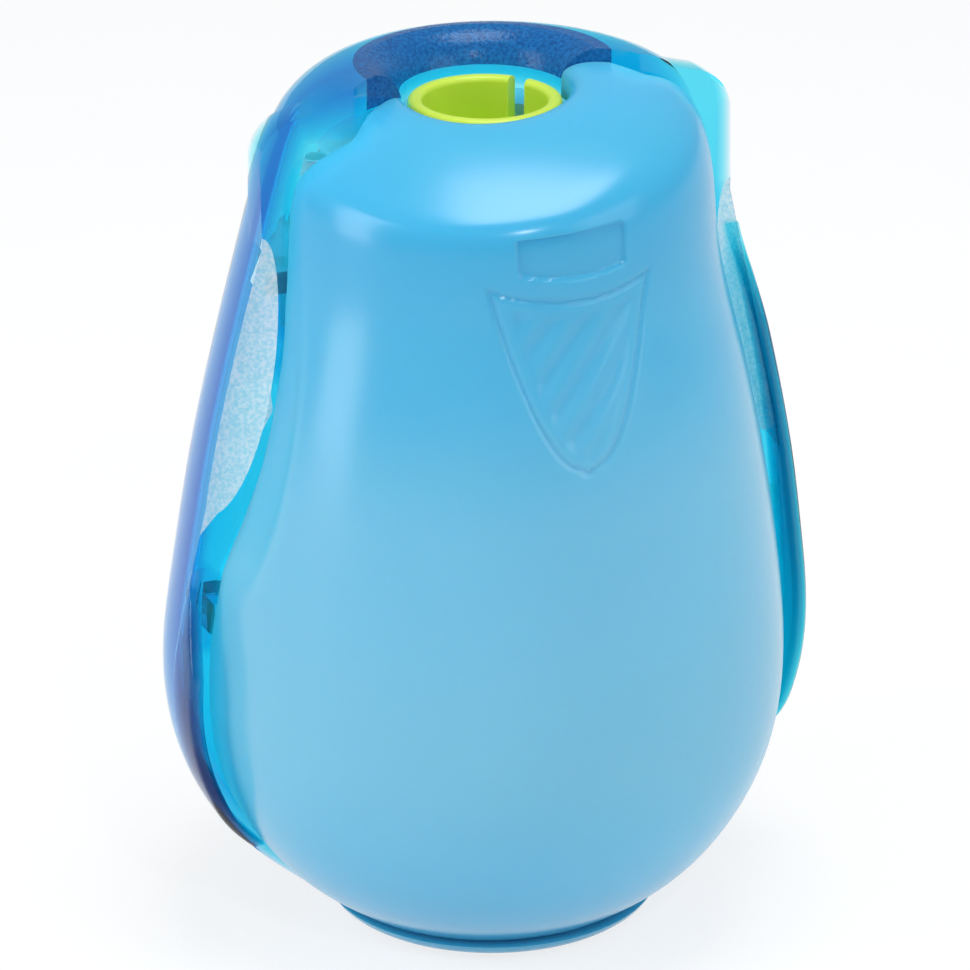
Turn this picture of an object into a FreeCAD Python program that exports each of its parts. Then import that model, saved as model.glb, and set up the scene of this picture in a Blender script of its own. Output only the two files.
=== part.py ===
import FreeCAD, Part
import math
import os

os.makedirs("parts", exist_ok=True)
V = FreeCAD.Vector
UP = V(0, 0, 1)
BACK = V(0, 1, 0)

# Body: the pencil goes down the Z axis, the front looks to -Y, the floor is at z = 0
rear_axis_y = -2.7
cover_axis_y = -1.1
top_z = 96.0
wall = 2.2
floor_gap = 0.3
base_top_z = 2.4
rear_floor = 2.2
ceiling_z = top_z - 5.4
seam_y = -4.6
seam_gap = 0.3
seam_top_y = 0.85
seam_hole_x = 9.2
seam_horn_x = 13.5
seam_horn_y = -1.5
seam_jog_x = 16.5
seam_shoulder_z = top_z - 12.0
cover_belly = 32.0

# Hole at the top with its rolled lip
hole_radius = 9.0
hole_z = top_z - 3.4
lip_reach = 5.6

# Dome over the top of the cover, lower to the front left than to the right
dome_radius = 70.0
dome_x = 8.3
dome_y = 11.9
dome_edge_reach = 37.632
dome_edge_drop = 9.776
dome_z = top_z - dome_edge_drop - math.sqrt(dome_radius ** 2 - dome_edge_reach ** 2)
roof = 1.6

# Frame of the rear shell round the front opening
flange_depth = 2.8
frame_overlap = 0.9
lug_half_width = 26.4
lug_low_z = top_z - 20.0
lug_corner_z = top_z - 7.5
lug_corner_width = 4.0
lug_corner_height = 4.9
lug_top_z = top_z - 0.6
lug_top_half_width = 15.0
lug_front_y = -6.0
lug_depth = 6.0

# Finger scoops on both sides of the seam, one in the cover and one in the face of the frame
scoop_z = top_z - 35.0
scoop_x = 40.3
scoop_y = -8.0
scoop_radius = 15.0
scoop_tilt = 10.5
scoop_bow = 115.0
scoop_half_length = 30.0
pad_x = 30.2
pad_depth = 1.1
pad_radius = 6.0
pad_bow = 200.0

# Label place and thumb shield on the cover
label_width = 12.0
label_top_z = top_z - 10.0
label_low_z = label_top_z - 5.1
label_sag = 0.7
label_corner = 0.7
label_depth = 0.45
shield_half_width = 8.7
shield_top_z = label_low_z - 1.5
shield_sag = 1.5
shield_tip_z = shield_top_z - 18.6
shield_line = 0.6
shield_depth = 0.35
rib_pitch = 2.9
rib_width = 1.4
rib_angle = 50.0
rib_count = 7

# Base
base_radius = 18.2
base_edge_radius = 15.8
base_low_z = 0.8
foot_inner = 11.0
foot_outer = 14.2
foot_seat = 0.4
base_screw_radius = 1.2
base_screw_head = 2.2
base_screw_length = 4.6
base_screw_head_height = 0.8
base_boss_radius = 2.4

# Gear train
module = 0.6
sun_teeth = 24
planet_teeth = 12
ring_teeth = 48
planet_count = 3
pressure_angle = math.radians(20.0)
addendum = 0.8 * module
dedendum = 1.0 * module
tooth_play = 0.10
sun_pitch = sun_teeth * module / 2
planet_pitch = planet_teeth * module / 2
ring_pitch = ring_teeth * module / 2
planet_ring = sun_pitch + planet_pitch

# Gear case
collar_top_z = top_z - 4.0
deck_low_z = collar_top_z - 18.4
deck_thickness = 2.4
deck_top_z = deck_low_z + deck_thickness
deck_edge_gap = 0.3
collar_play = 0.08
bell_wall = 1.3
bell_outer = ring_pitch + dedendum + bell_wall
case_inner = bell_outer + collar_play
case_wall = 1.2
case_outer = case_inner + case_wall
ear_ring = 18.4
ear_radius = 1.6
ear_angles = (288.0, 5.0, 175.0)
case_screw_radius = 0.8
case_screw_head = 1.25
case_screw_head_height = 0.7
case_screw_length = 7.0
deck_boss_radius = 2.4
deck_boss_low_z = deck_low_z - 10.6
deck_boss_spots = [(16.5, 12.0, 41.0), (-16.5, 12.0, 139.0), (21.5, 1.5, 10.0), (-21.5, 1.5, 170.0)]
deck_screw_radius = 1.0
deck_screw_head = 1.9
deck_screw_head_height = 0.9
deck_screw_length = 7.0

# Collar
collar_outer = 8.15
collar_wall = 1.55
collar_inner = collar_outer - collar_wall
collar_round = 0.6
web_low_z = collar_top_z - 8.6
web_top_z = web_low_z + 2.0
bell_low_z = deck_top_z + 0.5
ring_tooth_top_z = web_low_z - 0.6
slot_width = 2.0
slot_angle = 128.5
slot_low_z = web_top_z + 0.5
cap_gap = 0.4
cap_thickness = 1.4
cap_inner = 12.4
grip_height = 2.5
grip_low_z = web_low_z + 0.2
pencil_radius = 4.2

# Cutter head
neck_bore = 4.5
neck_radius = 5.6
bearing_play = 0.05
bush_outer = 7.2
bush_flange = 8.2
bush_flange_thickness = 0.6
head_top_z = deck_low_z - 1.1
head_radius = 9.2
head_shoulder_z = head_top_z - 6.5
head_nose_z = head_top_z - 28.0
head_nose_radius = 5.4
cone_top_z = head_top_z - 5.5
cone_length = 17.5
cone_tip_radius = 0.7
washer_thickness = 0.7
washer_radius = 8.4
sun_low_z = deck_top_z + 1.1
sun_thickness = 5.2
planet_low_z = sun_low_z + 0.1
planet_thickness = 5.0
pin_radius = 1.2
pin_play = 0.05
pin_head_radius = 1.9
pin_head_thickness = 0.5
clip_thickness = 0.6
clip_radius = 6.4
clip_seat = 0.4
neck_top_z = web_low_z - 0.1

# Blade
blade_length = 23.0
blade_width = 8.4
blade_thickness = 0.6
blade_bevel = 1.6
blade_bite = 0.3
throat_depth = 1.4
throat_width = 4.5
blade_seat_low = -12.5
blade_seat_high = 11.5
blade_screw_radius = 1.2
blade_screw_head = 2.2
blade_screw_head_height = 1.0
blade_screw_depth = 3.6
blade_screw_y = 5.0

# Shavings bin and its runners
bin_inset = 4.4
bin_wall = 1.4
bin_low_z = 5.4
bin_top_z = 39.3
rail_reach = 30.2
rail_low_z = 33.7
rail_high_z = 37.8
rail_front_y = 2.5
rail_back_y = 8.5
runner_back_y = 12.0
runner_gap = 0.3
runner_thickness = 1.2
runner_inner = 28.0
bin_screw_x = 8.0
bin_screw_z = 28.0
bin_screw_radius = 1.1
bin_screw_head = 2.0
bin_screw_head_height = 1.0
bin_screw_bite = 2.6
bin_boss_radius = 2.8

# Outlines of the two halves as radius and share of the full height
rear_shares = [
    (23.4, 0.0646), (29.3, 0.125), (34.2, 0.2083), (35.9, 0.3021), (34.8, 0.4167), (32.65, 0.5521),
    (29.85, 0.6875), (26.9, 0.8125), (24.8, 0.8958), (22.5, 0.9542), (18.5, 0.9906), (14.0, 1.0)]
cover_shares = [
    (22.6, 0.0667), (27.2, 0.125), (30.8, 0.2083), (cover_belly, 0.3021), (31.3, 0.4167), (29.4, 0.5521),
    (26.7, 0.6875), (24.2, 0.8021), (23.3, 0.8958), (21.4, 0.9521), (17.6, 0.9896), (13.5, 1.0)]
rear_outline = [(18.4, base_top_z)] + [(r, share * top_z) for r, share in rear_shares]
cover_outline = [(17.8, base_top_z + floor_gap)] + [(r, share * top_z) for r, share in cover_shares]

# Seam on the flank from the floor to the top as depth and height
seam_line = [
    (-0.5, -5.0), (-0.5, 20.0), (-1.1, 35.0), (-2.8, 45.0), (-4.4, 56.0), (-4.9, 68.0), (-4.6, 80.0),
    (-4.4, top_z + 14.0)]


def inset(outline, depth):
    moved = []
    last = len(outline) - 1
    for i, (r, z) in enumerate(outline):
        r0, z0 = outline[max(i - 1, 0)]
        r1, z1 = outline[min(i + 1, last)]
        span = math.hypot(r1 - r0, z1 - z0)
        moved.append((r - depth * (z1 - z0) / span, z + depth * (r1 - r0) / span))
    return moved


def curve(points):
    line = Part.BSplineCurve()
    line.interpolate(points)
    return line.toShape()


def solid(edges, direction):
    return Part.Face(Part.Wire(edges)).extrude(direction)


def polygon(points, direction):
    return Part.Face(Part.makePolygon(points + [points[0]])).extrude(direction)


def pear(outline, axis_y):
    points = [V(r, axis_y, z) for r, z in outline]
    low = V(0, axis_y, points[0].z)
    high = V(0, axis_y, points[-1].z)
    edges = [Part.makeLine(low, points[0]), curve(points), Part.makeLine(points[-1], high)]
    edges.append(Part.makeLine(high, low))
    return Part.Face(Part.Wire(edges)).revolve(V(0, axis_y, 0), UP, 360)


def turned(points):
    corners = [V(r, 0, z) for r, z in points]
    return Part.Face(Part.makePolygon(corners + [corners[0]])).revolve(V(0, 0, 0), UP, 360)


def rod(radius, low_z, high_z, x=0.0, y=0.0):
    return Part.makeCylinder(radius, high_z - low_z, V(x, y, low_z), UP)


def ring(inner, outer, low_z, high_z, x=0.0, y=0.0):
    return rod(outer, low_z, high_z, x, y).cut(rod(inner, low_z, high_z, x, y))


def block(x0, x1, y0, y1, z0, z1):
    return Part.makeBox(x1 - x0, y1 - y0, z1 - z0, V(x0, y0, z0))


def mirrored(shape):
    return shape.mirror(V(0, 0, 0), V(1, 0, 0))


def both_sides(shape):
    return shape.fuse(mirrored(shape))


def save(name, shape):
    shape.exportStep("parts/" + name + ".step")


def seam_side(offset):
    # everything in front of the seam as it runs down the flanks
    line = [V(-60, y + offset, z) for y, z in seam_line]
    corners = [V(-60, -60, line[-1].z), V(-60, -60, line[0].z)]
    edges = [curve(line)]
    chain = [line[-1]] + corners + [line[0]]
    for start, end in zip(chain[:-1], chain[1:]):
        edges.append(Part.makeLine(start, end))
    return solid(edges, V(120, 0, 0))


def seam_region(offset):
    # the seam turns inward over the shoulder and ends beside the hole
    side = seam_y + offset
    top = seam_top_y + offset
    horn = seam_horn_y + offset
    outline = [
        (-60, -60), (60, -60), (60, side), (seam_jog_x, side), (seam_horn_x, horn), (seam_hole_x, top),
        (-seam_hole_x, top), (-seam_horn_x, horn), (-seam_jog_x, side), (-60, side)]
    over_top = polygon([V(x, y, seam_shoulder_z) for x, y in outline], V(0, 0, 30))
    return seam_side(offset).fuse(over_top)


def spindle(radius, bow, middle):
    # bowed spindle that leans with the flank, on both sides
    half = scoop_half_length
    end = radius - (bow - math.sqrt(bow * bow - half * half))
    points = [V(end, 0, -half), V(radius, 0, 0), V(end, 0, half)]
    edges = [Part.Arc(*points).toShape()]
    edges.append(Part.makeLine(points[2], V(0, 0, half)))
    edges.append(Part.makeLine(V(0, 0, half), V(0, 0, -half)))
    edges.append(Part.makeLine(V(0, 0, -half), points[0]))
    shape = Part.Face(Part.Wire(edges)).revolve(V(0, 0, 0), UP, 360)
    shape.rotate(V(0, 0, 0), BACK, -scoop_tilt)
    shape.translate(middle)
    return both_sides(shape)


def cover_scoop(extra):
    return spindle(scoop_radius + extra, scoop_bow, V(scoop_x, scoop_y, scoop_z))


def lip_cutter():
    low = V(hole_radius, 0, hole_z)
    crest = V(hole_radius + lip_reach, 0, top_z + 0.02)
    middle = V(hole_radius + 0.27 * lip_reach, 0, hole_z + 0.72 * (top_z - hole_z))
    above = top_z + 14
    below = ceiling_z - 20
    points = [V(30, 0, crest.z), V(30, 0, above), V(0, 0, above), V(0, 0, below), V(hole_radius, 0, below)]
    edges = [Part.Arc(low, middle, crest).toShape()]
    chain = [crest] + points + [low]
    for start, end in zip(chain[:-1], chain[1:]):
        edges.append(Part.makeLine(start, end))
    return Part.Face(Part.Wire(edges)).revolve(V(0, 0, 0), UP, 360)


def dome(extra):
    return Part.makeSphere(dome_radius + extra, V(dome_x, dome_y, dome_z))


def flank_angle(radius, pitch, teeth):
    base = pitch * math.cos(pressure_angle)
    turn = math.acos(min(1.0, base / max(radius, base)))
    rolled = math.tan(turn) - turn
    rolled_at_pitch = math.tan(pressure_angle) - pressure_angle
    return math.pi / (2 * teeth) + rolled_at_pitch - rolled


def gear_face(teeth, pitch, root, tip, thinning, low_z):
    # involute flanks, straight below the base circle, first tooth on +X
    base = pitch * math.cos(pressure_angle)
    start = max(root, base)
    narrow = thinning / 2 / pitch
    radii = [start + (tip - start) * i / 4.0 for i in range(5)]
    step = 2 * math.pi / teeth
    edges = []

    def at(radius, angle):
        return V(radius * math.cos(angle), radius * math.sin(angle), low_z)

    for i in range(teeth):
        middle = i * step
        half = [flank_angle(r, pitch, teeth) - narrow for r in radii]
        right = [at(r, middle - a) for r, a in zip(radii, half)]
        left = [at(r, middle + a) for r, a in zip(radii, half)]
        foot = [at(root, middle - half[0]), at(root, middle + half[0])]
        if root < start - 1e-6:
            edges.append(Part.makeLine(foot[0], right[0]))
        edges.append(curve(right))
        edges.append(Part.Arc(right[-1], at(tip, middle), left[-1]).toShape())
        edges.append(curve(left[::-1]))
        if root < start - 1e-6:
            edges.append(Part.makeLine(left[0], foot[1]))
        following = at(root, middle + step - half[0])
        edges.append(Part.Arc(foot[1], at(root, middle + step / 2), following).toShape())
    return Part.Face(Part.Wire(Part.__sortEdges__(edges)))


# Rear shell: clear back half with the frame, the lugs, the runners and the bosses
rear_body = pear(rear_outline, rear_axis_y)
lug_round_x = lug_half_width - lug_corner_width
lug_round_z = lug_corner_z + lug_corner_height
lug_points = [
    V(0, lug_front_y, lug_low_z), V(lug_half_width, lug_front_y, lug_low_z),
    V(lug_half_width, lug_front_y, lug_corner_z), V(lug_round_x, lug_front_y, lug_round_z),
    V(lug_top_half_width, lug_front_y, lug_top_z), V(0, lug_front_y, lug_top_z)]
lug_bend = V(
    lug_half_width - 0.25 * lug_corner_width, lug_front_y, lug_corner_z + 0.63 * lug_corner_height)
lug_edges = [Part.Arc(lug_points[2], lug_bend, lug_points[3]).toShape()]
for first, second in ((0, 1), (1, 2), (3, 4), (4, 5), (5, 0)):
    lug_edges.append(Part.makeLine(lug_points[first], lug_points[second]))
lug_edges = Part.__sortEdges__(lug_edges)
lug = solid(lug_edges, V(0, lug_depth, 0))
rear_body = rear_body.fuse(both_sides(lug))
rear_body = rear_body.cut(seam_region(seam_gap)).cut(lip_cutter())
pad_y = seam_y + seam_gap + pad_depth - pad_radius
rear_body = rear_body.cut(spindle(pad_radius, pad_bow, V(pad_x, pad_y, scoop_z)))
thick_scoop = cover_scoop(wall - 0.2)
inside_levels = block(-50, 50, -50, 50, base_top_z + rear_floor, ceiling_z)
flange_back = seam_side(seam_gap + flange_depth)
rear_cavity = pear(inset(rear_outline, wall), rear_axis_y).common(inside_levels).cut(flange_back)
opening_points = [V(r, -20, z) for r, z in inset(cover_outline, frame_overlap)]
other_points = [V(-p.x, p.y, p.z) for p in opening_points]
opening_edges = [
    curve(opening_points), Part.makeLine(opening_points[-1], other_points[-1]),
    curve(other_points[::-1]), Part.makeLine(other_points[0], opening_points[0])]
opening = solid(opening_edges, V(0, 40, 0)).common(inside_levels).common(seam_side(seam_gap + flange_depth + 0.05))
rear_shell = rear_body.cut(rear_cavity).cut(opening.cut(thick_scoop))

# Runners for the bin rails and bosses under the deck, cut to the inside of the wall
inside_wall = pear(inset(rear_outline, wall / 2), rear_axis_y)
runner_front_y = seam_line[2][0] + seam_gap + flange_depth
low_runner = block(
    runner_inner, 40, runner_front_y, runner_back_y, rail_low_z - runner_gap - runner_thickness, rail_low_z - runner_gap)
high_runner = block(
    runner_inner, 40, runner_front_y, runner_back_y, rail_high_z + runner_gap, rail_high_z + runner_gap + runner_thickness)
runners = both_sides(low_runner).fuse(both_sides(high_runner)).common(inside_wall)
rear_shell = rear_shell.fuse(runners)
for x, y, angle in deck_boss_spots:
    boss = rod(deck_boss_radius, deck_boss_low_z, deck_low_z, x, y)
    arm = block(0, 12, -1.2, 1.2, deck_boss_low_z, deck_low_z)
    arm.rotate(V(0, 0, 0), UP, angle)
    arm.translate(V(x, y, 0))
    rear_shell = rear_shell.fuse(boss.fuse(arm).common(inside_wall))
for x, y, angle in deck_boss_spots:
    rear_shell = rear_shell.cut(rod(deck_screw_radius, deck_top_z - deck_screw_length, deck_top_z, x, y))

# Base plate with the foot ring and its screws up into the floor of the rear shell
base_bend = V(
    base_radius - 0.375 * (base_radius - base_edge_radius), 0, base_low_z + 0.344 * (base_top_z - base_low_z))
base_edges = [
    Part.makeLine(V(0, 0, base_low_z), V(base_edge_radius, 0, base_low_z)),
    Part.Arc(V(base_edge_radius, 0, base_low_z), base_bend, V(base_radius, 0, base_top_z)).toShape(),
    Part.makeLine(V(base_radius, 0, base_top_z), V(0, 0, base_top_z)),
    Part.makeLine(V(0, 0, base_top_z), V(0, 0, base_low_z))]
base_plate = Part.Face(Part.Wire(base_edges)).revolve(V(0, 0, 0), UP, 360)
base_centre_y = (rear_axis_y + cover_axis_y) / 2
base_plate.translate(V(0, base_centre_y, 0))
foot_ring = ring(foot_inner, foot_outer, 0, base_low_z + foot_seat, 0, base_centre_y)
base_plate = base_plate.cut(rod(foot_outer, 0, base_low_z + foot_seat, 0, base_centre_y).cut(
    rod(foot_inner, 0, base_low_z + foot_seat, 0, base_centre_y)))
base_screw_spots = [(-5.6, 4.6), (5.6, 4.6)]
base_screws = []
for x, y in base_screw_spots:
    head = rod(base_screw_head, base_low_z, base_low_z + base_screw_head_height, x, y)
    screw = head.fuse(rod(base_screw_radius, base_low_z, base_low_z + base_screw_length, x, y))
    base_plate = base_plate.cut(screw)
    boss = rod(base_boss_radius, base_top_z, base_low_z + base_screw_length + 0.4, x, y)
    rear_shell = rear_shell.fuse(boss).cut(screw)
    base_screws.append(screw)

# Gear case: deck, round wall and three ears for the cap
deck_outline = pear(inset(rear_outline, wall + deck_edge_gap), rear_axis_y)
deck_front_y = seam_y + seam_gap + flange_depth + deck_edge_gap
deck_back = block(-50, 50, deck_front_y, 50, deck_low_z, deck_top_z)
deck = deck_outline.common(deck_back).fuse(rod(case_outer, deck_low_z, deck_top_z))
cap_low_z = web_top_z + cap_gap
gear_case = deck.fuse(ring(case_inner, case_outer, deck_top_z, cap_low_z))
ear_spots = []
for angle in ear_angles:
    turn = math.radians(angle)
    ear_spots.append((ear_ring * math.cos(turn), ear_ring * math.sin(turn)))
inside_case = rod(case_inner, deck_top_z, top_z)
for x, y in ear_spots:
    gear_case = gear_case.fuse(rod(ear_radius, deck_low_z, cap_low_z, x, y).cut(inside_case))
gear_case = gear_case.cut(rod(bush_outer, deck_low_z, deck_top_z))

# Cap that keeps the collar down
cap_top_z = cap_low_z + cap_thickness
gear_case_cap = rod(case_outer, cap_low_z, cap_top_z)
for x, y in ear_spots:
    gear_case_cap = gear_case_cap.fuse(rod(ear_radius, cap_low_z, cap_top_z, x, y))
gear_case_cap = gear_case_cap.cut(rod(cap_inner, cap_low_z, cap_top_z))
cap_screws = []
for x, y in ear_spots:
    head = rod(case_screw_head, cap_top_z - case_screw_head_height, cap_top_z, x, y)
    screw = head.fuse(rod(case_screw_radius, cap_top_z - case_screw_length, cap_top_z, x, y))
    gear_case_cap = gear_case_cap.cut(screw)
    gear_case = gear_case.cut(screw)
    cap_screws.append(screw)

# Screws that hold the deck on the bosses
deck_screws = []
for x, y, angle in deck_boss_spots:
    head = rod(deck_screw_head, deck_top_z - deck_screw_head_height, deck_top_z, x, y)
    screw = head.fuse(rod(deck_screw_radius, deck_top_z - deck_screw_length, deck_top_z, x, y))
    gear_case = gear_case.cut(screw)
    deck_screws.append(screw)

# Bearing of the cutter head
head_bush = rod(bush_outer, deck_low_z, deck_top_z).fuse(
    rod(bush_flange, deck_top_z, deck_top_z + bush_flange_thickness))
head_bush = head_bush.cut(rod(neck_radius + bearing_play, deck_low_z, deck_top_z + bush_flange_thickness))

# Planet gears on their pins
planet_gears = []
planet_pins = []
pin_low_z = deck_low_z + 0.6
pin_top_z = planet_low_z + planet_thickness + 0.2
for i in range(planet_count):
    turn = 360.0 / planet_count * i
    face = gear_face(
        planet_teeth, planet_pitch, planet_pitch - dedendum, planet_pitch + addendum, tooth_play, planet_low_z)
    gear = face.extrude(V(0, 0, planet_thickness))
    gear.rotate(V(0, 0, 0), UP, 180.0 / planet_teeth)
    gear = gear.cut(rod(pin_radius + pin_play, planet_low_z, planet_low_z + planet_thickness))
    pin = rod(pin_radius, pin_low_z, pin_top_z).fuse(
        rod(pin_head_radius, pin_top_z, pin_top_z + pin_head_thickness))
    for shape in (gear, pin):
        shape.translate(V(planet_ring, 0, 0))
        shape.rotate(V(0, 0, 0), UP, turn)
    planet_gears.append(gear)
    planet_pins.append(pin)
    gear_case = gear_case.cut(pin)

# Pencil collar: slotted ring, web and bell with the internal teeth
collar_edges = [
    Part.makeLine(V(collar_inner, 0, web_low_z), V(collar_inner, 0, collar_top_z - collar_round)),
    Part.Arc(
        V(collar_inner, 0, collar_top_z - collar_round),
        V(collar_inner + 0.3 * collar_round, 0, collar_top_z - 0.3 * collar_round),
        V(collar_inner + collar_round, 0, collar_top_z)).toShape(),
    Part.makeLine(V(collar_inner + collar_round, 0, collar_top_z), V(collar_outer - collar_round, 0, collar_top_z)),
    Part.Arc(
        V(collar_outer - collar_round, 0, collar_top_z),
        V(collar_outer - 0.3 * collar_round, 0, collar_top_z - 0.3 * collar_round),
        V(collar_outer, 0, collar_top_z - collar_round)).toShape(),
    Part.makeLine(V(collar_outer, 0, collar_top_z - collar_round), V(collar_outer, 0, web_low_z)),
    Part.makeLine(V(collar_outer, 0, web_low_z), V(collar_inner, 0, web_low_z))]
pencil_collar = Part.Face(Part.Wire(collar_edges)).revolve(V(0, 0, 0), UP, 360)
slot = block(collar_inner - 1, collar_outer + 1, -slot_width / 2, slot_width / 2, slot_low_z, collar_top_z + 1)
slot.rotate(V(0, 0, 0), UP, slot_angle - 90)
pencil_collar = pencil_collar.cut(slot)
bell = ring(collar_outer, bell_outer, web_low_z, web_top_z).fuse(
    ring(ring_pitch + dedendum, bell_outer, bell_low_z, web_low_z))
ring_blank = ring(ring_pitch - addendum, ring_pitch + dedendum, bell_low_z, ring_tooth_top_z)
ring_spaces = gear_face(
    ring_teeth, ring_pitch, ring_pitch - addendum - 0.4, ring_pitch + dedendum, -tooth_play, bell_low_z)
ring_spaces = ring_spaces.extrude(V(0, 0, ring_tooth_top_z - bell_low_z))
ring_spaces.rotate(V(0, 0, 0), UP, 180.0 / ring_teeth)
pencil_collar = pencil_collar.fuse(bell).fuse(ring_blank.cut(ring_spaces)).removeSplitter()
grip_ring = ring(pencil_radius, collar_inner, grip_low_z, grip_low_z + grip_height)

# Cutter head with the neck, the cone and the flat for the blade
head_points = [
    (0, head_nose_z), (head_nose_radius, head_nose_z), (head_radius, head_shoulder_z), (head_radius, head_top_z),
    (neck_radius, head_top_z), (neck_radius, neck_top_z), (0, neck_top_z)]
cone_low_z = cone_top_z - cone_length
bore_points = [
    (0, head_nose_z - 1), (cone_tip_radius, head_nose_z - 1), (cone_tip_radius, cone_low_z), (neck_bore, cone_top_z),
    (neck_bore, neck_top_z + 1), (0, neck_top_z + 1)]
blade_head = turned(head_points).cut(turned(bore_points))
cone_lean = math.degrees(math.atan((neck_bore - cone_tip_radius) / cone_length))
blade_middle = V((neck_bore + cone_tip_radius) / 2, 0, (cone_top_z + cone_low_z) / 2)


def on_blade_seat(shape):
    shape.translate(V(-blade_bite, 0, 0))
    shape.rotate(V(0, 0, 0), BACK, cone_lean)
    shape.translate(blade_middle)
    return shape


blade_head = blade_head.cut(on_blade_seat(block(0, 20, -20, 20, blade_seat_low, blade_seat_high)))
throat = block(-throat_depth, 20, -throat_width, -0.1, blade_seat_low + 2, blade_seat_high - 3)
blade_head = blade_head.cut(on_blade_seat(throat))
blade_outline = [
    V(0, 0, 0), V(0, blade_width, 0), V(blade_thickness, blade_width, 0), V(blade_thickness, blade_bevel, 0)]
blade = polygon(blade_outline, V(0, 0, blade_length))
blade.translate(V(0, 0, -blade_length / 2))
blade_screw = Part.makeCylinder(
    blade_screw_head, blade_screw_head_height, V(blade_thickness, blade_screw_y, 0), V(1, 0, 0))
blade_screw = blade_screw.fuse(Part.makeCylinder(
    blade_screw_radius, blade_screw_depth + blade_thickness, V(-blade_screw_depth, blade_screw_y, 0), V(1, 0, 0)))
blade = on_blade_seat(blade)
blade_screw = on_blade_seat(blade_screw)
blade = blade.cut(blade_screw)
blade_head = blade_head.cut(blade_screw)
sun_face = gear_face(sun_teeth, sun_pitch, sun_pitch - dedendum, sun_pitch + addendum, tooth_play, sun_low_z)
sun_gear = sun_face.extrude(V(0, 0, sun_thickness)).cut(rod(neck_radius, sun_low_z, sun_low_z + sun_thickness))
clip_low_z = sun_low_z + sun_thickness
head_clip = ring(neck_radius - clip_seat, clip_radius, clip_low_z, clip_low_z + clip_thickness)
head_clip = head_clip.cut(block(0, 10, -1.0, 1.0, clip_low_z, clip_low_z + clip_thickness))
blade_head = blade_head.cut(ring(neck_radius - clip_seat, neck_radius + 1, clip_low_z, clip_low_z + clip_thickness))
thrust_washer = ring(neck_radius, washer_radius, head_top_z, head_top_z + washer_thickness)

# Front cover with its scoops, the label place and the thumb shield
cover_body = pear(cover_outline, cover_axis_y).common(dome(0))
cover_levels = block(-50, 50, -50, 50, base_top_z + floor_gap + wall, ceiling_z)
cover_cavity = pear(inset(cover_outline, wall), cover_axis_y).common(cover_levels)
cover_cavity = cover_cavity.cut(thick_scoop).common(dome(-roof))
front_cover = cover_body.common(seam_region(0)).cut(lip_cutter()).cut(cover_scoop(0)).cut(cover_cavity)

half = label_width / 2
label_y = -60
label_edges = [
    Part.makeLine(V(-half, label_y, label_top_z), V(half, label_y, label_top_z)),
    Part.makeLine(V(half, label_y, label_top_z), V(half, label_y, label_low_z)),
    Part.Arc(
        V(half, label_y, label_low_z), V(0, label_y, label_low_z - label_sag),
        V(-half, label_y, label_low_z)).toShape(),
    Part.makeLine(V(-half, label_y, label_low_z), V(-half, label_y, label_top_z))]
label_prism = solid(label_edges, V(0, 55, 0))
label_prism = label_prism.makeFillet(label_corner, [
    e for e in label_prism.Edges if abs(e.Vertexes[0].Y - e.Vertexes[-1].Y) > 50])
label_skin = pear(inset(cover_outline, -1), cover_axis_y).cut(pear(inset(cover_outline, label_depth), cover_axis_y))
front_cover = front_cover.cut(label_prism.common(label_skin))


def shield_prism(trim):
    wide = shield_half_width - trim
    top = shield_top_z - trim
    tip = shield_tip_z + trim * 1.4
    sag = shield_sag
    right = [V(wide, -60, top), V(0.78 * wide, -60, top - 0.42 * (top - tip)), V(0.3 * wide, -60, tip + 1.6)]
    left = [V(-p.x, p.y, p.z) for p in right]
    edges = [
        Part.Arc(left[0], V(0, -60, top - sag), right[0]).toShape(), curve(right),
        Part.Arc(right[-1], V(0, -60, tip), left[-1]).toShape(), curve(left[::-1])]
    return solid(edges, V(0, 55, 0))


shield_skin = pear(inset(cover_outline, -1), cover_axis_y).cut(pear(inset(cover_outline, shield_depth), cover_axis_y))
shield_inside = shield_prism(shield_line)
shield_groove = shield_prism(0).cut(shield_inside).common(shield_skin)
front_cover = front_cover.cut(shield_groove)
rib_field = shield_prism(2.2 * shield_line).common(shield_skin)
for i in range(rib_count):
    bar = block(-20, 20, -60, -5, -rib_width / 2, rib_width / 2)
    bar.rotate(V(0, 0, 0), BACK, -rib_angle)
    offset = (i - (rib_count - 1) / 2) * rib_pitch
    middle_z = (shield_top_z + shield_tip_z) / 2
    bar.translate(V(0, 0, middle_z + offset / math.cos(math.radians(rib_angle))))
    front_cover = front_cover.cut(bar.common(rib_field))

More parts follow.
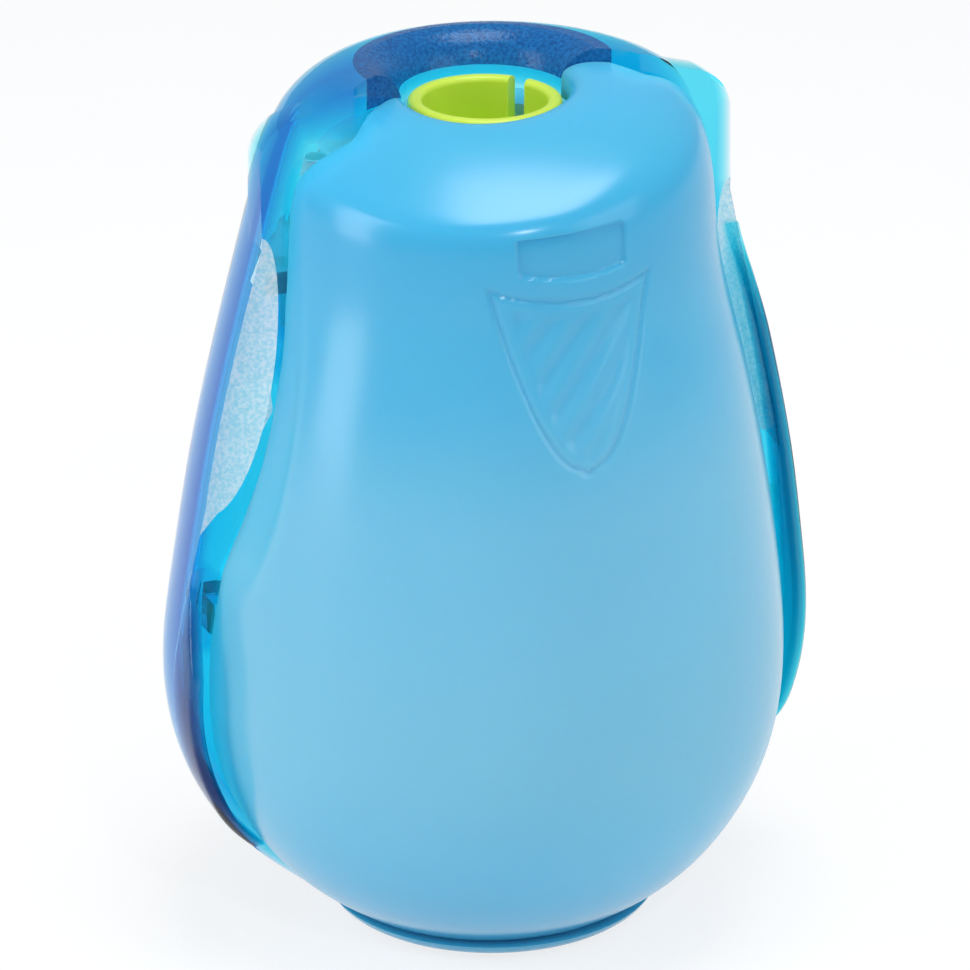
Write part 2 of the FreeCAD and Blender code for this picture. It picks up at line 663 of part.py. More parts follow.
# Shavings bin with the side rails, screwed to the cover
bin_levels = block(-50, 50, -50, 50, bin_low_z, bin_top_z)
bin_body = pear(inset(cover_outline, bin_inset), cover_axis_y).common(bin_levels)
rail = block(20, rail_reach, rail_front_y, rail_back_y, rail_low_z, rail_high_z)
bin_space = pear(inset(cover_outline, bin_inset + bin_wall), cover_axis_y).common(
    block(-50, 50, -50, 50, bin_low_z + bin_wall, bin_top_z + 5))
bin_body = bin_body.fuse(both_sides(rail)).cut(bin_space)
cover_inside = pear(inset(cover_outline, wall / 2), cover_axis_y)
bin_outside = pear(inset(cover_outline, bin_inset), cover_axis_y)
bin_screws = []
for x in (-bin_screw_x, bin_screw_x):
    spot = V(x, -40, bin_screw_z)
    boss = Part.makeCylinder(bin_boss_radius, 20, spot, BACK).common(cover_inside).cut(bin_outside)
    front_cover = front_cover.fuse(boss)
    bin_inner_radius = cover_belly - bin_inset - bin_wall
    seat_y = cover_axis_y - math.sqrt(bin_inner_radius ** 2 - (abs(x) + bin_screw_head) ** 2)
    shank = bin_screw_bite + bin_wall + wall - 0.6
    screw = Part.makeCylinder(bin_screw_head, bin_screw_head_height, V(x, seat_y, bin_screw_z), BACK)
    screw = screw.fuse(Part.makeCylinder(bin_screw_radius, shank, V(x, seat_y - shank, bin_screw_z), BACK))
    clear = Part.makeCylinder(bin_screw_head, 3, V(x, seat_y, bin_screw_z), BACK)
    seat = Part.makeCylinder(bin_boss_radius, 6, V(x, seat_y - 4, bin_screw_z), BACK)
    seat = seat.common(bin_outside).cut(clear)
    bin_body = bin_body.fuse(seat.cut(Part.makeCylinder(bin_boss_radius, 3, V(x, seat_y, bin_screw_z), BACK)))
    bin_body = bin_body.cut(screw)
    front_cover = front_cover.cut(screw)
    bin_screws.append(screw)

save("rear_shell", rear_shell)
save("base_plate", base_plate)
save("foot_ring", foot_ring)
save("base_screws", Part.makeCompound(base_screws))
save("gear_case", gear_case)
save("gear_case_cap", gear_case_cap)
save("cap_screws", Part.makeCompound(cap_screws))
save("deck_screws", Part.makeCompound(deck_screws))
save("head_bush", head_bush)
save("planet_pins", Part.makeCompound(planet_pins))
for number, gear in enumerate(planet_gears):
    save("planet_gear_" + str(number + 1), gear)
save("pencil_collar", pencil_collar)
save("grip_ring", grip_ring)
save("blade_head", blade_head)
save("sun_gear", sun_gear)
save("head_clip", head_clip)
save("thrust_washer", thrust_washer)
save("blade", blade)
save("blade_screw", blade_screw)
save("front_cover", front_cover)
save("shavings_bin", bin_body)
save("bin_screws", Part.makeCompound(bin_screws))
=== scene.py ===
import math

import bmesh
import bpy
import numpy as np
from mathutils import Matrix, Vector


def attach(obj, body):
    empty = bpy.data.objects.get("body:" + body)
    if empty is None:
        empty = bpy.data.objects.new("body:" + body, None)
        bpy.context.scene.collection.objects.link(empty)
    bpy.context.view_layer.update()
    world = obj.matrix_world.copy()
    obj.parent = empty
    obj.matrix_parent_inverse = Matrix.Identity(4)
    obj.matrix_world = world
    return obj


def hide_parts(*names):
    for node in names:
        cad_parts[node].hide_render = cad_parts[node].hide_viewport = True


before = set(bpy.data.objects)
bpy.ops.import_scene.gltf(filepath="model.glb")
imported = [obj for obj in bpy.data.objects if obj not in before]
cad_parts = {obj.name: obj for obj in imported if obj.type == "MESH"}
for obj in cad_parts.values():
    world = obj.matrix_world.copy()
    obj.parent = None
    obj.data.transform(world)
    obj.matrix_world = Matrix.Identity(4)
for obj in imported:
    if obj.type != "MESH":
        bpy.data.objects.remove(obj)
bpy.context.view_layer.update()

# Floor and room
# A pale table runs out to a white room, so only the soft shadow under the foot shows. A long lamp
# stands at the left, a box above, a small one in front and a weak one fills in from the right.


def mottled(tree, socket, scale, dark, light):
    # faint cloudy change of colour over a surface, so that no piece is one flat tone
    where = tree.nodes.new("ShaderNodeTexCoord")
    cloud = tree.nodes.new("ShaderNodeTexNoise")
    cloud.inputs["Scale"].default_value = scale
    tree.links.new(where.outputs["Object"], cloud.inputs["Vector"])
    tint = tree.nodes.new("ShaderNodeValToRGB")
    tint.color_ramp.elements[0].color = (*dark, 1)
    tint.color_ramp.elements[1].color = (*light, 1)
    tree.links.new(cloud.outputs["Fac"], tint.inputs["Fac"])
    tree.links.new(tint.outputs["Color"], socket)


def either(tree, first, second):
    # 1 where one of the two is 1
    larger = tree.nodes.new("ShaderNodeMath")
    larger.operation = "MAXIMUM"
    tree.links.new(first, larger.inputs[0])
    tree.links.new(second, larger.inputs[1])
    return larger.outputs[0]


def blended(tree, share, first, second):
    # first shader where the share is 0 and the second where it is 1
    mix = tree.nodes.new("ShaderNodeMixShader")
    tree.links.new(share, mix.inputs["Fac"])
    tree.links.new(first, mix.inputs[1])
    tree.links.new(second, mix.inputs[2])
    return mix.outputs["Shader"]


floor_size = 6.0
white_share = 0.72
white_level = 1.08
bpy.ops.mesh.primitive_plane_add(size=floor_size, location=(0, 0, 0))
floor = bpy.context.object
floor.name = "floor"
paper = bpy.data.materials.new("white_table")
paper.use_nodes = True
tree = paper.node_tree
nodes, links = tree.nodes, tree.links
surface = nodes["Principled BSDF"]
surface.inputs["Roughness"].default_value = 0.55
mottled(tree, surface.inputs["Base Color"], 40.0, (0.90, 0.90, 0.90), (0.94, 0.94, 0.94))
path = nodes.new("ShaderNodeLightPath")
seen = either(tree, path.outputs["Is Camera Ray"], path.outputs["Is Transmission Ray"])
seen = either(tree, seen, path.outputs["Is Glossy Ray"])
share = nodes.new("ShaderNodeMath")
share.operation = "MULTIPLY"
share.inputs[1].default_value = white_share
links.new(seen, share.inputs[0])
glow = nodes.new("ShaderNodeEmission")
glow.inputs["Strength"].default_value = white_level
sheet = blended(tree, share.outputs[0], surface.outputs["BSDF"], glow.outputs["Emission"])
links.new(sheet, nodes["Material Output"].inputs["Surface"])
floor.data.materials.append(paper)

world = bpy.data.worlds.new("white_room")
bpy.context.scene.world = world
world.use_nodes = True
tree = world.node_tree
nodes, links = tree.nodes, tree.links
path = nodes.new("ShaderNodeLightPath")
seen = either(tree, path.outputs["Is Camera Ray"], path.outputs["Is Transmission Ray"])
room = nodes["Background"]
room.inputs["Color"].default_value = (0.86, 0.93, 1.0, 1)
room.inputs["Strength"].default_value = 0.42
plain = nodes.new("ShaderNodeBackground")
plain.inputs["Color"].default_value = (1, 1, 1, 1)
plain.inputs["Strength"].default_value = 1.0
walls = blended(tree, seen, room.outputs["Background"], plain.outputs["Background"])
links.new(walls, nodes["World Output"].inputs["Surface"])

lamp_aim = Vector((0, 0, 0.05))
for name, place, size, power in (
        ("left_strip", (-0.52, 0.00, 0.26), (0.20, 0.50), 1.2),
        ("top_box", (0.05, -0.02, 0.62), (0.30, 0.30), 1.7),
        ("front_spot", (-0.05, -0.60, 0.55), (0.05, 0.03), 0.6),
        ("right_fill", (0.40, -0.50, 0.30), (0.40, 0.40), 0.7)):
    lamp = bpy.data.lights.new(name, "AREA")
    lamp.shape = "RECTANGLE"
    lamp.size, lamp.size_y = size
    lamp.energy = power
    holder = bpy.data.objects.new(name, lamp)
    holder.location = place
    holder.rotation_euler = (lamp_aim - Vector(place)).to_track_quat("-Z", "Y").to_euler()
    bpy.context.scene.collection.objects.link(holder)

# Rear shell
# The clear blue back half: a pear-shaped wall with a thick rolled lip round the hole, square lugs at
# the shoulders and a flat frame round the front opening. It is moulded in one piece, polished all
# over but for a frosted finger pad at each side and the grained dish round the hole.


def clear_plastic(name, dark, light, soak_colour, density):
    # polished plastic that is deeper in colour where it is thicker
    material = bpy.data.materials.new(name)
    material.use_nodes = True
    tree = material.node_tree
    polished = tree.nodes["Principled BSDF"]
    polished.inputs["Transmission Weight"].default_value = 1.0
    polished.inputs["IOR"].default_value = 1.015
    polished.inputs["Roughness"].default_value = 0.02
    polished.inputs["Coat Weight"].default_value = 0.7
    polished.inputs["Coat IOR"].default_value = 1.5
    polished.inputs["Coat Roughness"].default_value = 0.03
    mottled(tree, polished.inputs["Base Color"], 45.0, dark, light)
    soak = tree.nodes.new("ShaderNodeVolumeAbsorption")
    soak.inputs["Color"].default_value = (*soak_colour, 1)
    soak.inputs["Density"].default_value = density
    tree.links.new(soak.outputs["Volume"], tree.nodes["Material Output"].inputs["Volume"])
    return material


def dress(names, material):
    # one finish for pieces that keep the shape of their solids
    for name in names:
        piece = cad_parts[name]
        piece.data.materials.clear()
        piece.data.materials.append(material)


flank_z = 61
flank_lean = 0.185
flank_lean_cos = 0.983
flank_half_length = 30
pad_x = 30.2
pad_y = -9.2
pad_radius = 6.0
pad_bow = 200
pad_front_y = -5.2
pad_half_length = 29
pad_match = 0.25
dish_radius = 0.0138
dish_low_z = 0.0926

rear_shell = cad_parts["rear_shell"]
finish = rear_shell.data.attributes.new("finish", "FLOAT", "FACE")
for face in rear_shell.data.polygons:
    x, y, z = face.center * 1000
    along = min(abs(z - flank_z) / flank_lean_cos, flank_half_length)
    spindle = pad_radius - (pad_bow - math.sqrt(pad_bow ** 2 - along ** 2))
    apart = math.hypot((abs(x) - pad_x + (z - flank_z) * flank_lean) * flank_lean_cos, y - pad_y)
    if abs(apart - spindle) < pad_match and y > pad_front_y and along < pad_half_length:
        finish.data[face.index].value = 1.0

clear = clear_plastic(
    "clear_blue_plastic", (0.94, 0.98, 1.0), (0.98, 0.99, 1.0), (0.05, 0.88, 0.965), 600.0)
tree = clear.node_tree
nodes, links = tree.nodes, tree.links
polished = nodes["Principled BSDF"]
where = nodes.new("ShaderNodeTexCoord")
frost = nodes.new("ShaderNodeTexNoise")
frost.inputs["Scale"].default_value = 2600.0
frost.inputs["Detail"].default_value = 1.0
links.new(where.outputs["Object"], frost.inputs["Vector"])
grit = nodes.new("ShaderNodeBump")
grit.inputs["Distance"].default_value = 0.0001
grit.inputs["Strength"].default_value = 0.5
links.new(frost.outputs["Fac"], grit.inputs["Height"])
pad = nodes.new("ShaderNodeBsdfPrincipled")
pad.inputs["Transmission Weight"].default_value = 0.25
pad.inputs["IOR"].default_value = 1.04
pad.inputs["Roughness"].default_value = 0.4
dish = nodes.new("ShaderNodeBsdfPrincipled")
dish.inputs["Transmission Weight"].default_value = 0.45
dish.inputs["IOR"].default_value = 1.3
dish.inputs["Roughness"].default_value = 0.22
for skin, dark, light in (
        (pad, (0.55, 0.84, 0.92, 1), (0.92, 0.98, 1.0, 1)),
        (dish, (0.01, 0.08, 0.26, 1), (0.02, 0.16, 0.42, 1))):
    speckle = nodes.new("ShaderNodeValToRGB")
    speckle.color_ramp.elements[0].position = 0.35
    speckle.color_ramp.elements[0].color = dark
    speckle.color_ramp.elements[1].position = 0.65
    speckle.color_ramp.elements[1].color = light
    links.new(frost.outputs["Fac"], speckle.inputs["Fac"])
    links.new(speckle.outputs["Color"], skin.inputs["Base Color"])
    links.new(grit.outputs["Normal"], skin.inputs["Normal"])
flat = nodes.new("ShaderNodeVectorMath")
flat.operation = "MULTIPLY"
flat.inputs[1].default_value = (1.0, 1.0, 0.0)
links.new(where.outputs["Object"], flat.inputs[0])
from_axis = nodes.new("ShaderNodeVectorMath")
from_axis.operation = "LENGTH"
links.new(flat.outputs["Vector"], from_axis.inputs[0])
near_axis = nodes.new("ShaderNodeMath")
near_axis.operation = "LESS_THAN"
near_axis.inputs[1].default_value = dish_radius
links.new(from_axis.outputs["Value"], near_axis.inputs[0])
height = nodes.new("ShaderNodeSeparateXYZ")
links.new(where.outputs["Object"], height.inputs["Vector"])
on_top = nodes.new("ShaderNodeMath")
on_top.operation = "GREATER_THAN"
on_top.inputs[1].default_value = dish_low_z
links.new(height.outputs["Z"], on_top.inputs[0])
is_dish = nodes.new("ShaderNodeMath")
is_dish.operation = "MULTIPLY"
links.new(near_axis.outputs[0], is_dish.inputs[0])
links.new(on_top.outputs[0], is_dish.inputs[1])
is_pad = nodes.new("ShaderNodeAttribute")
is_pad.attribute_name = "finish"
is_rough = either(tree, is_pad.outputs["Fac"], is_dish.outputs[0])
rough = blended(tree, is_dish.outputs[0], pad.outputs["BSDF"], dish.outputs["BSDF"])
skin = blended(tree, is_rough, polished.outputs["BSDF"], rough)
links.new(skin, nodes["Material Output"].inputs["Surface"])
dress(["rear_shell"], clear)

# Front cover
# The light blue front half of the pear, moulded in glossy, slightly milky plastic, with a bare label
# place, a ribbed thumb shield and a shallow scoop at each side. It is screwed to the bin and slides
# out forward with it.


def smooth_line(points, count):
    # cubic line through the points, even along its length
    points = np.array(points, float)
    t = np.r_[0, np.cumsum(np.hypot(*np.diff(points, axis=0).T))]
    h = np.diff(t)
    n = len(t)
    a = np.zeros((n, n))
    b = np.zeros((n, 2))
    a[0, 0] = a[-1, -1] = 1
    for i in range(1, n - 1):
        a[i, i - 1:i + 2] = h[i - 1], 2 * (h[i - 1] + h[i]), h[i]
        b[i] = 6 * ((points[i + 1] - points[i]) / h[i] - (points[i] - points[i - 1]) / h[i - 1])
    m = np.linalg.solve(a, b)
    u = np.linspace(0, t[-1], count)
    i = np.clip(np.searchsorted(t, u, side="right") - 1, 0, n - 2)
    left, right = (u - t[i])[:, None], (t[i + 1] - u)[:, None]
    hi = h[i][:, None]
    return (m[i] * right ** 3 + m[i + 1] * left ** 3) / (6 * hi) + (
        points[i] / hi - m[i] * hi / 6) * right + (points[i + 1] / hi - m[i + 1] * hi / 6) * left


def ease(v, low, high):
    # soft step from 0 at low to 1 at high
    s = np.clip((v - low) / (high - low), 0, 1)
    return s * s * (3 - 2 * s)


def half_rows(outline, first_radius, centre, wall, floor_z, ceiling_z):
    # rows from the middle of the bottom up the flank, over the lip and down the hole, outside and inside
    side = smooth_line(outline, 200)
    step = np.gradient(side, axis=0)
    step /= np.linalg.norm(step, axis=1)[:, None]
    inner = side + wall * np.c_[-step[:, 1], step[:, 0]]
    inner[:, 1] = np.clip(inner[:, 1], floor_z, ceiling_z)
    under = np.linspace(first_radius, outline[0][0], 7)[:-1]
    turn = np.linspace(0, math.pi / 2, 15)[1:]
    lip_r = hole_radius + lip_reach * (1 - np.sin(turn))
    lip_z = hole_z + lip_height * np.cos(turn)
    rows = [(r, outline[0][1], r * inner[0, 0] / outline[0][0], floor_z, centre) for r in under]
    for (r, z), (ri, zi) in zip(side, inner):
        rows.append((r, z, ri, zi, centre * ease(r, 14.0, 22.0) if z > 60 else centre))
    rows += [(r, z, r, ceiling_z, 0.0) for r, z in zip(lip_r, lip_z)]
    rows += [(hole_radius, z, hole_radius, ceiling_z, 0.0) for z in (hole_z - 1.0, ceiling_z)]
    return rows


def closed_mesh(name, loops):
    # rows of equal closed loops skinned into one solid, in millimetres
    loops = np.array(loops) / 1000
    count = loops.shape[1]
    faces = []
    for j in range(len(loops) - 1):
        for i in range(count):
            k = (i + 1) % count
            faces.append((j * count + i, j * count + k, (j + 1) * count + k, (j + 1) * count + i))
    faces.append(tuple(range(count))[::-1])
    mesh = bpy.data.meshes.new(name)
    mesh.from_pydata(loops.reshape(-1, 3).tolist(), [], faces)
    work = bmesh.new()
    work.from_mesh(mesh)
    bmesh.ops.remove_doubles(work, verts=work.verts, dist=2e-6)
    bmesh.ops.dissolve_degenerate(work, edges=work.edges, dist=1e-7)
    bmesh.ops.recalc_face_normals(work, faces=work.faces)
    work.to_mesh(mesh)
    work.free()
    mesh.shade_smooth()
    mesh.set_sharp_from_angle(angle=math.radians(38))
    piece = bpy.data.objects.new(name, mesh)
    bpy.context.scene.collection.objects.link(piece)
    return piece


def seam_depth(x, z):
    # depth of the seam: an S down the flank, with a jog over the shoulder to the hole
    side = np.interp(
        z, (0, 20, 35, 45, 56, 68, 80, 100), (-0.5, -0.5, -1.1, -2.8, -4.4, -4.9, -4.6, -4.4))
    over = np.interp(np.abs(x), (9.2, 13.5, 16.5), (0.85, -1.5, -4.6))
    return np.where(z > shoulder_z, np.maximum(side, over), side)


def seam_angle(r, centre, z):
    # angle from the middle of the front at which a row meets the seam
    angle = np.linspace(0, math.pi, 1801)
    behind = centre + r * np.cos(angle) > seam_depth(r * np.sin(angle), z)
    back = angle[max(np.argmin(behind) - 1, 0)] if not behind.all() else math.pi
    return math.pi - back


def under_dome(x, y, z, roof):
    # the top is rounded off by a wide dome, lower to the front left than to the right
    dome = dome_z + np.sqrt((dome_radius - roof) ** 2 - (x - dome_x) ** 2 - (y - dome_y) ** 2)
    soft = 5.0 if not roof else 0.01
    blend = np.clip(0.5 + 0.5 * (z - dome) / soft, 0, 1)
    return z + (dome - z) * blend - soft * blend * (1 - blend)


def scoop_side(y, z, radius):
    # half width left by the finger scoop, a leaning bowed spindle beside the flank
    along = abs(z - flank_z) / flank_lean_cos
    if along >= flank_half_length:
        return np.full(len(y), scoop_clear)
    spindle = radius - (scoop_bow - math.sqrt(scoop_bow ** 2 - along ** 2))
    reach = np.sqrt(np.maximum(spindle ** 2 - (y - scoop_y) ** 2, 0))
    hollow = scoop_x - (z - flank_z) * flank_lean - reach
    return np.where(np.abs(y - scoop_y) < spindle, hollow, scoop_clear)


def label_distance(x, z):
    # distance outside the edge of the label place, a rectangle with round corners and a bowed foot
    wide = np.abs(x) - label_half_width
    low = label_low_z - label_bow * (1 - (x / label_half_width) ** 2) - z
    high = np.maximum(low, z - label_top_z)
    corner = np.hypot(np.maximum(wide + label_corner, 0), np.maximum(high + label_corner, 0))
    inside = (wide < -label_corner) & (high < -label_corner)
    return np.where(inside, -label_corner, corner - label_corner)


def shield_distance(x, z):
    # distance outside the edge of the thumb shield, which narrows to a point at its foot
    share = np.clip((z - shield_low_z) / shield_height, 0, 1.2)
    half_width = shield_half_width * share ** shield_power
    slope = shield_half_width * shield_power * max(share, 0.02) ** (shield_power - 1) / shield_height
    side = (np.abs(x) - half_width) / math.sqrt(1 + slope ** 2)
    top = z - (shield_low_z + shield_height - shield_dip * (1 - (x / shield_half_width) ** 2))
    return np.maximum(side, top)


cover_outline = [
    (17.8, 2.7), (22.6, 6.4), (27.2, 12.0), (30.8, 20.0), (32.0, 29.0), (31.3, 40.0), (29.4, 53.0),
    (26.7, 66.0), (24.2, 77.0), (23.3, 86.0), (21.4, 91.4), (17.6, 95.0), (13.5, 96.0)]
cover_axis_y = -1.1
cover_wall = 2.2
cover_floor_z = 4.9
cover_ceiling_z = 90.6
cover_roof = 1.6
shoulder_z = 84
hole_radius = 9.0
hole_z = 92.6
lip_reach = 5.0
lip_height = 3.4
dome_radius = 70.0
dome_x = 8.3
dome_y = 11.9
dome_z = 27.2
scoop_x = 40.3
scoop_y = -8
scoop_radius = 15.0
scoop_wall = 2.0
scoop_bow = 115
scoop_soft = 0.9
scoop_clear = 90.0
label_half_width = 6.0
label_low_z = 80.9
label_top_z = 86.0
label_bow = 0.7
label_corner = 0.7
label_depth = 0.42
shield_low_z = 60.8
shield_height = 18.6
shield_half_width = 8.7
shield_power = 0.456
shield_dip = 1.5
groove_depth = 0.26
groove_width = 0.3
rib_depth = 0.24
rib_pitch = 2.9
rib_turn = math.radians(50)
detail_low_z = 58
detail_high_z = 88
detail_half_angle = 0.44

rows = half_rows(cover_outline, 0.7, cover_axis_y, cover_wall, cover_floor_z, cover_ceiling_z)
fine = []
for first, second in zip(rows[:-1], rows[1:]):
    parts = 2 if detail_low_z < first[1] < detail_high_z else 1
    for k in range(parts):
        fine.append(tuple(a + (b - a) * k / parts for a, b in zip(first, second)))
fine.append(rows[-1])
cover_loops = []
for r, z, ri, zi, centre in fine:
    edge = seam_angle(r, centre, z)
    span = min(detail_half_angle, edge)
    angles = np.r_[
        np.linspace(-edge, -span, 34)[:-1], np.linspace(-span, span, 97), np.linspace(span, edge, 34)[1:]]
    x = r * np.sin(angles)
    sink = np.zeros(len(x))
    if detail_low_z < z < detail_high_z:
        sink += label_depth * (1 - ease(label_distance(x, z), -0.28, 0.12))
        shield = shield_distance(x, z)
        sink += groove_depth * np.exp(-(shield / groove_width) ** 2) * (z > shield_low_z - 0.5)
        across = -x * math.sin(rib_turn) + (z - 70) * math.cos(rib_turn)
        wave = 0.5 + 0.5 * np.cos(2 * math.pi * across / rib_pitch)
        sink += rib_depth * wave * (1 - ease(shield, -2.4, -0.9))
    x = (r - sink) * np.sin(angles)
    y = centre - (r - sink) * np.cos(angles)
    hollow = scoop_side(y, z, scoop_radius)
    blend = np.clip(0.5 + 0.5 * (np.abs(x) - hollow) / scoop_soft, 0, 1)
    size = np.abs(x) + (hollow - np.abs(x)) * blend - scoop_soft * blend * (1 - blend) * 0.5
    x = np.sign(x) * np.minimum(size, np.abs(x))
    loop = list(zip(x, y, under_dome(x, y, z, 0)))
    angles_in = angles * seam_angle(ri, centre, zi) / edge
    xi = ri * np.sin(angles_in)
    yi = centre - ri * np.cos(angles_in)
    xi = np.sign(xi) * np.minimum(np.abs(xi), scoop_side(yi, zi, scoop_radius + scoop_wall))
    loop += list(zip(xi[::-1], yi[::-1], under_dome(xi, yi, zi, cover_roof)[::-1]))
    cover_loops.append(loop)
cover = closed_mesh("front_cover_skin", cover_loops)

milk = bpy.data.materials.new("light_blue_plastic")
milk.use_nodes = True
nodes, links = milk.node_tree.nodes, milk.node_tree.links
surface = nodes["Principled BSDF"]
surface.inputs["Roughness"].default_value = 0.22
surface.inputs["IOR"].default_value = 1.5
surface.inputs["Subsurface Weight"].default_value = 0.35
surface.inputs["Subsurface Radius"].default_value = (0.2, 0.7, 1.0)
surface.inputs["Subsurface Scale"].default_value = 0.006
where = nodes.new("ShaderNodeTexCoord")
cloud = nodes.new("ShaderNodeTexNoise")
cloud.inputs["Scale"].default_value = 28.0
cloud.inputs["Detail"].default_value = 2.0
links.new(where.outputs["Object"], cloud.inputs["Vector"])
drift = nodes.new("ShaderNodeMapRange")
drift.inputs["To Min"].default_value = -0.06
drift.inputs["To Max"].default_value = 0.06
links.new(cloud.outputs["Fac"], drift.inputs["Value"])
# painted light and shade: the base colour follows the height (ten times z plus a faint cloudy drift),
# lightest round the belly at about 30 mm, darker and more saturated up past the shield to the label at
# about 85 mm, and a little lighter again at the top
place = nodes.new("ShaderNodeSeparateXYZ")
links.new(where.outputs["Object"], place.inputs["Vector"])
height_light_and_shade = nodes.new("ShaderNodeMath")
height_light_and_shade.operation = "MULTIPLY_ADD"
height_light_and_shade.inputs[1].default_value = 10.0
links.new(place.outputs["Z"], height_light_and_shade.inputs[0])
links.new(drift.outputs["Result"], height_light_and_shade.inputs[2])
tint = nodes.new("ShaderNodeValToRGB")
tint.color_ramp.interpolation = "EASE"
tint.color_ramp.elements[0].position = 0.05
tint.color_ramp.elements[0].color = (0.11, 0.50, 0.77, 1)
tint.color_ramp.elements[1].position = 0.98
tint.color_ramp.elements[1].color = (0.085, 0.48, 0.77, 1)
for spot, colour in (
        (0.30, (0.19, 0.56, 0.78, 1)), (0.52, (0.17, 0.55, 0.78, 1)),
        (0.72, (0.09, 0.49, 0.77, 1)), (0.85, (0.055, 0.455, 0.77, 1))):
    tint.color_ramp.elements.new(spot).color = colour
links.new(height_light_and_shade.outputs[0], tint.inputs["Fac"])
links.new(tint.outputs["Color"], surface.inputs["Base Color"])
cover.data.materials.append(milk)
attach(cover, "drawer")
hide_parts("front_cover")

# Edge of the rear shell
# The clear wall comes a few millimetres forward round the flanks of the cover as a thin rolled edge,
# higher on the right than on the left. It is moulded in one with the rear shell and leaves the cover
# free to slide out.
edge_outline = smooth_line([
    (23.4, 6.2), (29.3, 12.0), (34.2, 20.0), (35.9, 29.0), (34.8, 40.0), (32.65, 53.0), (29.85, 66.0),
    (26.9, 78.0)], 110)
edge_axis_y = -2.7
edge_wall = 1.5
edge_gap = 0.3
edge_root = 0.4
edge_least = 0.05
edge_front_y = -5.4
edge_round = np.linspace(0, math.pi, 7)[1:-1]
# painted shade: this edge is the rear shell's own plastic but absorbs light almost five times as
# strongly, so it shows as a dark blue band in place of the shade along a thick clear edge
painted_shade_edge_plastic = clear_plastic(
    "edge_plastic_painted_shade", (0.90, 0.96, 1.0), (0.98, 0.99, 1.0), (0.05, 0.86, 0.915), 2800.0)
for name, side, forward, fade_low, fade_high in (
        ("rear_shell_edge_left", -1, 0.0, 32.0, 44.0), ("rear_shell_edge_right", 1, 1.9, 64.0, 75.0)):
    loops = []
    for r, z in edge_outline[8:-3]:
        if z > fade_high + 1:
            continue
        seam = seam_depth(np.array(r), np.array(z)) + edge_gap
        front = edge_front_y - forward * ease(z, 28.0, 52.0)
        grown = ease(z, 8.0, 20.0) * (1 - ease(z, fade_low, fade_high))
        reach = edge_least + (seam - front) * grown
        turns = np.linspace(seam + edge_root, seam - reach, 9)
        outer = [(math.sqrt(r ** 2 - (y - edge_axis_y) ** 2), y) for y in turns]
        inner = [(math.sqrt((r - edge_wall) ** 2 - (y - edge_axis_y) ** 2), y) for y in turns[::-1]]
        middle = (outer[-1][0] + inner[0][0]) / 2
        half = (outer[-1][0] - inner[0][0]) / 2
        bead = min(half, reach)
        tip = [(middle + half * math.cos(t), turns[-1] - bead * math.sin(t)) for t in edge_round]
        loops.append([(side * x, y, z) for x, y in outer + tip + inner])
    loops.append([tuple(np.mean(loops[-1], axis=0))] * len(loops[-1]))
    rim = closed_mesh(name, loops)
    rim.data.materials.append(painted_shade_edge_plastic)
    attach(rim, "housing")

# Base plate
# A light blue disc of the cover's plastic that closes the underside.
# Two screws hold it to the rear shell.
dress(["base_plate"], milk)

# Foot ring
# Soft grey rubber ring that the object stands on, pressed under the base plate so that it does not
# slip on the table.
rubber = bpy.data.materials.new("foot_rubber")
rubber.use_nodes = True
surface = rubber.node_tree.nodes["Principled BSDF"]
surface.inputs["Roughness"].default_value = 0.7
mottled(rubber.node_tree, surface.inputs["Base Color"], 900.0, (0.50, 0.53, 0.56), (0.58, 0.61, 0.64))
dress(["foot_ring"], rubber)

# Pencil collar and grip ring
# A lime plastic ring with a slot and rounded edges, standing free in the hole. The soft grip of the
# same colour sits inside it and holds the pencil that turns it.
lime = bpy.data.materials.new("lime_plastic")
lime.use_nodes = True
surface = lime.node_tree.nodes["Principled BSDF"]
surface.inputs["Roughness"].default_value = 0.35
surface.inputs["Subsurface Weight"].default_value = 0.25
surface.inputs["Subsurface Radius"].default_value = (0.8, 1.0, 0.2)
surface.inputs["Subsurface Scale"].default_value = 0.003
mottled(lime.node_tree, surface.inputs["Base Color"], 120.0, (0.60, 0.80, 0.055), (0.66, 0.86, 0.085))
dress(["pencil_collar", "grip_ring"], lime)

# Gear case, gears and cutter head
# Moulded parts behind the cover, seen dimly through the clear shell: a grey case screwed into the
# neck, white gears in it and the grey cone that carries the blade below it.
for name, dark, light, pieces in (
        ("moulded_grey", (0.46, 0.53, 0.60), (0.52, 0.59, 0.66),
         ["gear_case", "gear_case_cap", "blade_head"]),
        ("gear_white", (0.78, 0.78, 0.73), (0.84, 0.84, 0.80),
         ["planet_gear_1", "planet_gear_2", "planet_gear_3", "sun_gear"])):
    moulded = bpy.data.materials.new(name)
    moulded.use_nodes = True
    surface = moulded.node_tree.nodes["Principled BSDF"]
    surface.inputs["Roughness"].default_value = 0.5
    mottled(moulded.node_tree, surface.inputs["Base Color"], 200.0, dark, light)
    dress(pieces, moulded)

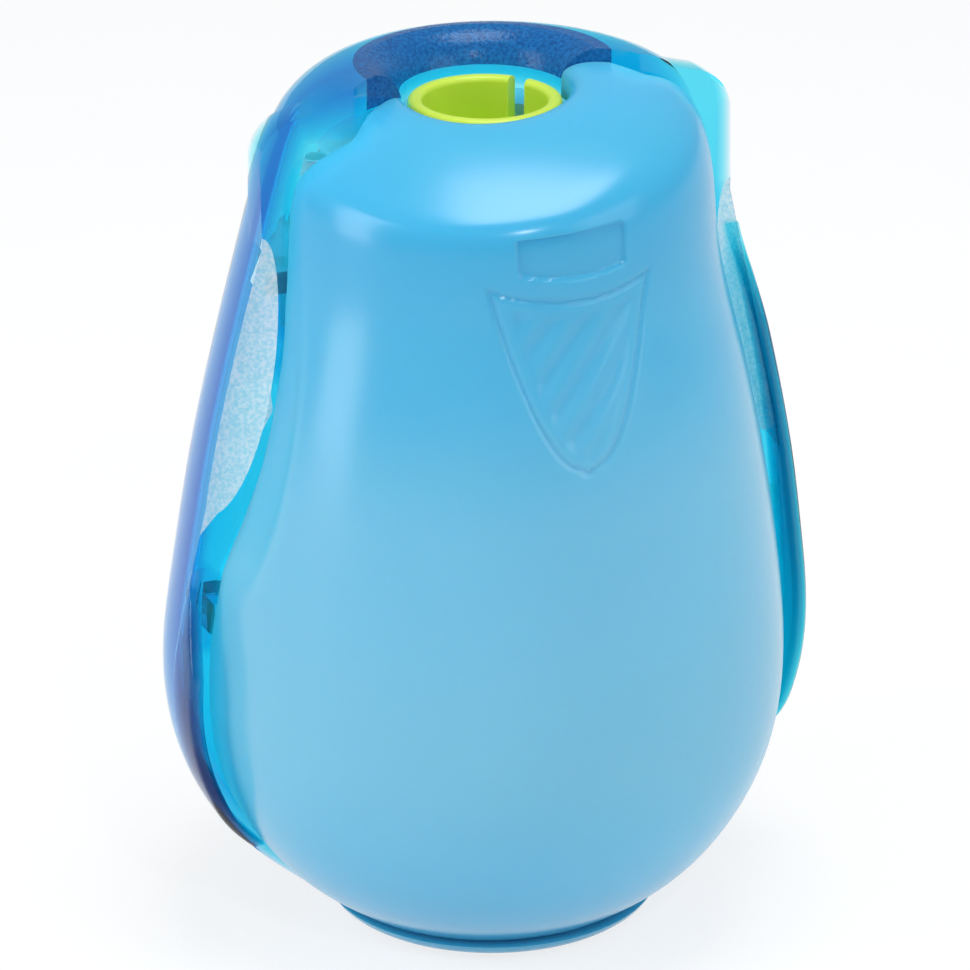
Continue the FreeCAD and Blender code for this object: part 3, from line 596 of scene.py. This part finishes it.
# Screws, pins, blade, clip, washer and bush
# Bright steel fasteners, gear pins and blade, and the turned brass bush that the neck of the cutter
# head runs in.
for name, dark, light, pieces in (
        ("bright_steel", (0.52, 0.53, 0.55), (0.66, 0.67, 0.69),
         ["base_screws", "cap_screws", "deck_screws", "bin_screws", "blade_screw", "planet_pins",
          "head_clip", "thrust_washer", "blade"]),
        ("turned_brass", (0.60, 0.42, 0.16), (0.72, 0.52, 0.22), ["head_bush"])):
    metal = bpy.data.materials.new(name)
    metal.use_nodes = True
    surface = metal.node_tree.nodes["Principled BSDF"]
    surface.inputs["Metallic"].default_value = 1.0
    surface.inputs["Roughness"].default_value = 0.28
    mottled(metal.node_tree, surface.inputs["Base Color"], 700.0, dark, light)
    dress(pieces, metal)

# Shavings bin
# A clear, pale blue moulded cup that catches the shavings. Two screws join it to the back of the
# cover, and it comes out with it.
pale = bpy.data.materials.new("clear_bin_plastic")
pale.use_nodes = True
tree = pale.node_tree
surface = tree.nodes["Principled BSDF"]
surface.inputs["Transmission Weight"].default_value = 1.0
surface.inputs["Roughness"].default_value = 0.06
surface.inputs["IOR"].default_value = 1.46
mottled(tree, surface.inputs["Base Color"], 60.0, (0.80, 0.92, 0.99), (0.88, 0.96, 1.0))
soak = tree.nodes.new("ShaderNodeVolumeAbsorption")
soak.inputs["Color"].default_value = (0.10, 0.55, 0.90, 1)
soak.inputs["Density"].default_value = 90.0
tree.links.new(soak.outputs["Volume"], tree.nodes["Material Output"].inputs["Volume"])
dress(["shavings_bin"], pale)

# Camera
# Long lens from the front left, a little above, as the photo was taken.
camera_turn = math.radians(-21.5)
camera_rise = math.radians(22.5)
camera_distance = 0.6
camera_aim = Vector((0, 0, 0.048))
lens = bpy.data.cameras.new("camera")
lens.lens = 206.8
lens.sensor_width = 36.0
lens.clip_start = 0.05
lens.clip_end = 20.0
camera = bpy.data.objects.new("camera", lens)
back = Vector((
    math.sin(camera_turn) * math.cos(camera_rise), -math.cos(camera_turn) * math.cos(camera_rise),
    math.sin(camera_rise)))
camera.location = camera_aim + back * camera_distance
camera.rotation_euler = (-back).to_track_quat("-Z", "Y").to_euler()
bpy.context.scene.collection.objects.link(camera)
bpy.context.scene.camera = camera
bpy.context.scene.view_settings.view_transform = "Standard"
